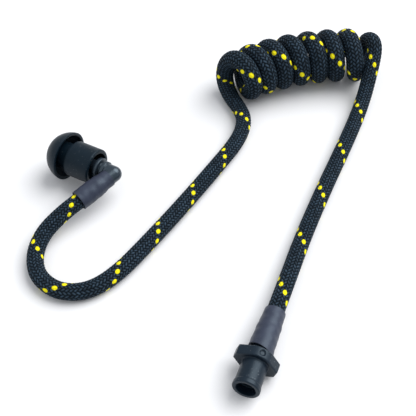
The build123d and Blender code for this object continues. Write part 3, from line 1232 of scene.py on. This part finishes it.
class TUBE_OT_stage(bpy.types.Operator):
    """Makes the camera, the soft lights and the pale floor"""

    bl_idname = "acoustic_tube.stage"
    bl_label = "Stage"

    def execute(self, context):
        scene = context.scene
        stage = scene.tube_stage
        aim = Vector(stage.aim)
        right = Vector((math.cos(stage.azimuth), math.sin(stage.azimuth), 0))
        away = Vector((-math.sin(stage.azimuth), math.cos(stage.azimuth), 0))
        up = Vector((0, 0, 1))
        back = math.sin(stage.elevation) * up - math.cos(stage.elevation) * away
        camera = bpy.data.objects.new("camera", bpy.data.cameras.new("camera"))
        camera.data.lens = stage.lens
        camera.data.sensor_width = 36.0
        camera.data.clip_start = 0.01
        camera.location = aim + back * stage.distance
        camera.rotation_euler = (-back).to_track_quat("-Z", "Y").to_euler()
        scene.collection.objects.link(camera)
        scene.camera = camera
        scene.view_settings.view_transform = "Standard"

        for name, place, spread, strength in (
            ("key_light", 0.24 * right + 0.12 * away + 0.34 * up, 56, stage.key_strength),
            ("fill_light", -0.35 * right - 0.1 * away + 0.4 * up, 80, stage.key_strength * 0.1),
        ):
            lamp = bpy.data.lights.new(name, "SUN")
            lamp.energy = strength
            lamp.angle = math.radians(spread)
            light = bpy.data.objects.new(name, lamp)
            light.location = aim + place
            light.rotation_euler = (-place).to_track_quat("-Z", "Y").to_euler()
            scene.collection.objects.link(light)

        world = bpy.data.worlds.new("studio")
        world.use_nodes = True
        background = world.node_tree.nodes["Background"]
        background.inputs["Color"].default_value = (0.93, 0.96, 1.0, 1.0)
        background.inputs["Strength"].default_value = stage.fill
        scene.world = world

        half = 6.0  # far enough for the floor to fill the view from low down
        corners = [(-half, -half, 0), (half, -half, 0), (half, half, 0), (-half, half, 0)]
        mesh = bpy.data.meshes.new("floor")
        mesh.from_pydata(corners, [], [(0, 1, 2, 3)])
        floor = bpy.data.objects.new("floor", mesh)
        scene.collection.objects.link(floor)
        mesh.materials.append(floor_finish(stage))
        return {"FINISHED"}


class TUBE_OT_connector(bpy.types.Operator):
    """Makes the winged twist-lock connector"""

    bl_idname = "acoustic_tube.connector"
    bl_label = "Connector"

    def execute(self, context):
        connector = context.scene.tube_connector
        piece = keep_edges(surface("connector", connector_grid(connector)))
        plastic = moulded_finish(
            "connector_plastic", connector.colour, roughness=0.38, grain=0.012 * MM, gloss=0.32
        )
        finish_piece(piece, plastic, "radio_side", "connector_plastic", "connector_body")
        return {"FINISHED"}


class TUBE_OT_ear_tip(bpy.types.Operator):
    """Makes the mushroom ear tip"""

    bl_idname = "acoustic_tube.ear_tip"
    bl_label = "Ear tip"

    def execute(self, context):
        tip = context.scene.tube_tip
        piece = surface("mushroom_tip", ear_tip_grid(tip))
        rubber = moulded_finish("silicone", tip.colour, roughness=0.44, grain=0.010 * MM, gloss=0.24)
        finish_piece(piece, rubber, "ear_tip", "silicone", "ear_tip")
        return {"FINISHED"}


class TUBE_OT_elbow(bpy.types.Operator):
    """Makes the elbow that joins the ear tip to the cord"""

    bl_idname = "acoustic_tube.elbow"
    bl_label = "Elbow"

    def execute(self, context):
        elbow = context.scene.tube_elbow
        piece = keep_edges(welded(surface("elbow_fitting", elbow_grid(elbow))))
        plastic = moulded_finish(
            "elbow_plastic", elbow.colour, roughness=0.28, grain=0.006 * MM, gloss=0.7
        )
        finish_piece(piece, plastic, "ear_side", "elbow_plastic", "elbow")
        return {"FINISHED"}


class TUBE_OT_cord(bpy.types.Operator):
    """Makes the braided sleeve and the hose inside it: ear leg, coil and radio leg"""

    bl_idname = "acoustic_tube.cord"
    bl_label = "Braided cord"

    def execute(self, context):
        cord = context.scene.tube_cord
        guide, start, end = cord_guide(cord)
        braid = braid_finish(cord)
        clear = hose_finish(cord)
        reach = {"ear_leg": (0.0, start), "coil": (start, end), "radio_leg": (end, guide.length)}
        riders = {"ear_leg": "ear_side", "coil": None, "radio_leg": "radio_side"}
        stands_for = {
            "ear_leg": ("ear_leg_sleeve", "ear_leg_hose"),
            "coil": ("coil",),
            "radio_leg": ("radio_leg_sleeve", "radio_leg_hose"),
        }
        # Rows along the braid stand this far apart, which keeps each sleeve under 200,000 triangles.
        steps = {"ear_leg": 0.18 * MM, "coil": 0.31 * MM, "radio_leg": 0.17 * MM}
        for part, (s0, s1) in reach.items():
            sleeve, sleeve_s = braid_piece(
                part + "_braid", cord, guide, s0, s1, start, end, steps[part]
            )
            hose, hose_s = hose_piece(part + "_inner_hose", cord, guide, s0, s1)
            for piece, s, finish, slot in (
                (sleeve, sleeve_s, braid, "braid"),
                (hose, hose_s, clear, "hose"),
            ):
                if part == "coil":
                    stretch_with_coil(piece, s, guide, start, end)
                finish_piece(piece, finish, riders[part], slot)
            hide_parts(*stands_for[part])
            path = guide.at(np.linspace(s0, s1, int((s1 - s0) / (0.5 * MM)) + 2))[0]
        return {"FINISHED"}


class TUBE_OT_shrink(bpy.types.Operator):
    """Makes the two heat-shrink tubes, at the elbow and at the connector"""

    bl_idname = "acoustic_tube.shrink"
    bl_label = "Heat-shrink tubes"

    def execute(self, context):
        tube = context.scene.tube_shrink
        guide = cord_guide(context.scene.tube_cord)[0]
        finish = shrink_finish(tube)
        waist = tube.waist / MM
        over = 2.98  # outside of the ear tube where it covers the braid
        ear_rows = [
            (waist, -1.6),
            (waist, 0.7, 0.4),
            (over - 0.1, 1.6, 0.5),
            (over, 3.4, 0.5),
            (over, 9.5),
        ]
        grid = cut_at_mitre(shrink_grid(guide, ear_rows, wall=0.26 * MM, wrinkle=0.025 * MM, phase=0.4))
        ear = keep_edges(surface("elbow_shrink", grid))
        finish_piece(ear, finish, "ear_side", "heat_shrink", "ear_heat_shrink")
        end = guide.length / MM
        wide = tube.open_radius / MM
        radio_rows = [
            (2.85, end - 9.9),
            (2.9, end - 9.4, 0.3),
            (2.95, end - 7.5, 1.5),
            (wide - 0.12, end - 2.0, 1.5),
            (wide, end + 3.0),
        ]
        slant = np.array((0.8, -0.25, 0.1)) * MM
        grid = shrink_grid(guide, radio_rows, wall=tube.wall, wrinkle=0.03 * MM, phase=1.7, slant=slant)
        radio = keep_edges(surface("connector_shrink", grid))
        finish_piece(radio, finish, "radio_side", "heat_shrink", "radio_heat_shrink")
        return {"FINISHED"}


STEPS = (
    TUBE_OT_stage,
    TUBE_OT_connector,
    TUBE_OT_ear_tip,
    TUBE_OT_elbow,
    TUBE_OT_cord,
    TUBE_OT_shrink,
)


class TUBE_PT_panel(bpy.types.Panel):
    """Lists the pieces in the order that they are made"""

    bl_idname = "TUBE_PT_panel"
    bl_label = "Acoustic Tube"
    bl_space_type = "VIEW_3D"
    bl_region_type = "UI"
    bl_category = "Acoustic Tube"

    def draw(self, context):
        for step in STEPS:
            self.layout.operator(step.bl_idname)


SETTINGS = {
    "tube_cord": CordSettings,
    "tube_tip": TipSettings,
    "tube_elbow": ElbowSettings,
    "tube_shrink": ShrinkSettings,
    "tube_connector": ConnectorSettings,
    "tube_stage": StageSettings,
}


def register():
    for each in (*SETTINGS.values(), *STEPS, TUBE_PT_panel):
        bpy.utils.register_class(each)
    for name, group in SETTINGS.items():
        setattr(bpy.types.Scene, name, PointerProperty(type=group))


def unregister():
    for name in SETTINGS:
        delattr(bpy.types.Scene, name)
    for each in (TUBE_PT_panel, *reversed(STEPS), *SETTINGS.values()):
        bpy.utils.unregister_class(each)


def main():
    """Registers the add-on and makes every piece."""
    register()
    bpy.ops.acoustic_tube.stage()
    bpy.ops.acoustic_tube.connector()
    bpy.ops.acoustic_tube.ear_tip()
    bpy.ops.acoustic_tube.elbow()
    bpy.ops.acoustic_tube.cord()
    bpy.ops.acoustic_tube.shrink()


if __name__ == "__main__":
    main()
